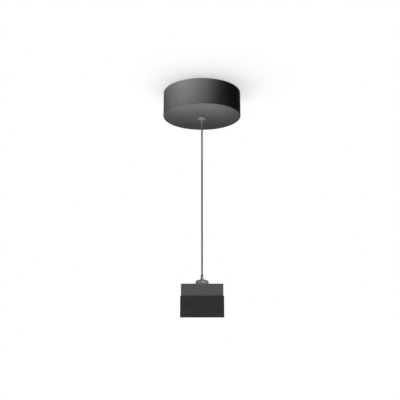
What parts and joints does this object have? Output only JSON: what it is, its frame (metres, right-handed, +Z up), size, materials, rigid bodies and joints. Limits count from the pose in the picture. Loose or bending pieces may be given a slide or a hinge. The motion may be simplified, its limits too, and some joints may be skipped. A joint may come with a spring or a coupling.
{
  "type": "track suspension kit",
  "caption": "Ceiling suspension for a lighting track: round dark canopy, steel wire on a ball seat, push-release wire gripper and a swivelling clip that wraps the track from above.",
  "frame": {"origin": "centre of the ceiling plane, on the wire's axis", "axes": "+Z up into the ceiling, X along the track that the clip holds, -Y towards the viewer of the picture"},
  "size_m": [0.0914, 0.0914, 0.2606],
  "materials": {
    "canopy_coat": "satin dark grey powder coat",
    "block_coat": "matt dark grey powder coat",
    "saddle_coat": "matt black powder coat",
    "turned_grey": "turned and dark nickel plated",
    "wire_rope": "stranded steel, dull",
    "zinc_steel": "zinc plated",
    "bright_steel": "polished hardened steel",
    "black_oxide": "black oxide"
  },
  "bodies": {
    "ceiling": {"ceiling_plate": "zinc_steel", "threaded_tube": "zinc_steel", "toothed_washer": "zinc_steel", "lock_nut": "zinc_steel", "canopy_cup": "canopy_coat", "outlet_collar": "turned_grey"},
    "wire": {"wire_end_ball": "bright_steel", "suspension_wire": "wire_rope"},
    "gripper": {"gripper_body": "turned_grey", "base_plug": "turned_grey", "grip_spring": "bright_steel", "thrust_washer": "zinc_steel", "retaining_ring": "black_oxide"},
    "plunger": {"release_plunger": "turned_grey", "grip_balls": "bright_steel"},
    "clip": {"clip_block": "block_coat", "profile_saddle": "saddle_coat", "saddle_screws": "black_oxide"},
    "pad": {"lock_pad": "zinc_steel"},
    "lock": {"lock_screw": "black_oxide"}
  },
  "joints": [
    {"name": "wire_swing", "type": "hinge", "parent": "ceiling", "child": "wire", "pos_m": [0, 0, -0.03081], "axis": [1, 0, 0], "range_deg": [-12, 12]},
    {"name": "height_adjust", "type": "slide", "parent": "wire", "child": "gripper", "axis": [0, 0, 1], "range_m": [0, 0.175]},
    {"name": "release_press", "type": "slide", "parent": "gripper", "child": "plunger", "axis": [0, 0, -1], "range_m": [0, 0.002], "stiffness_N_per_m": 800, "springref_m": -0.001, "deforming": ["grip_spring"]},
    {"name": "clip_swivel", "type": "hinge", "parent": "gripper", "child": "clip", "pos_m": [0, 0, -0.2249], "axis": [0, 0, 1], "continuous": true},
    {"name": "lock_feed", "type": "slide", "parent": "clip", "child": "pad", "axis": [0, -1, 0], "range_m": [0, 0.00105]},
    {"name": "lock_turn", "type": "hinge", "parent": "pad", "child": "lock", "pos_m": [0, 0.0192, -0.2504], "axis": [0, -1, 0], "range_deg": [0, 540]}
  ],
  "couplings": [
    {"joint": "lock_turn", "follows": "lock_feed", "rad_per_m": 8975.9}
  ]
}
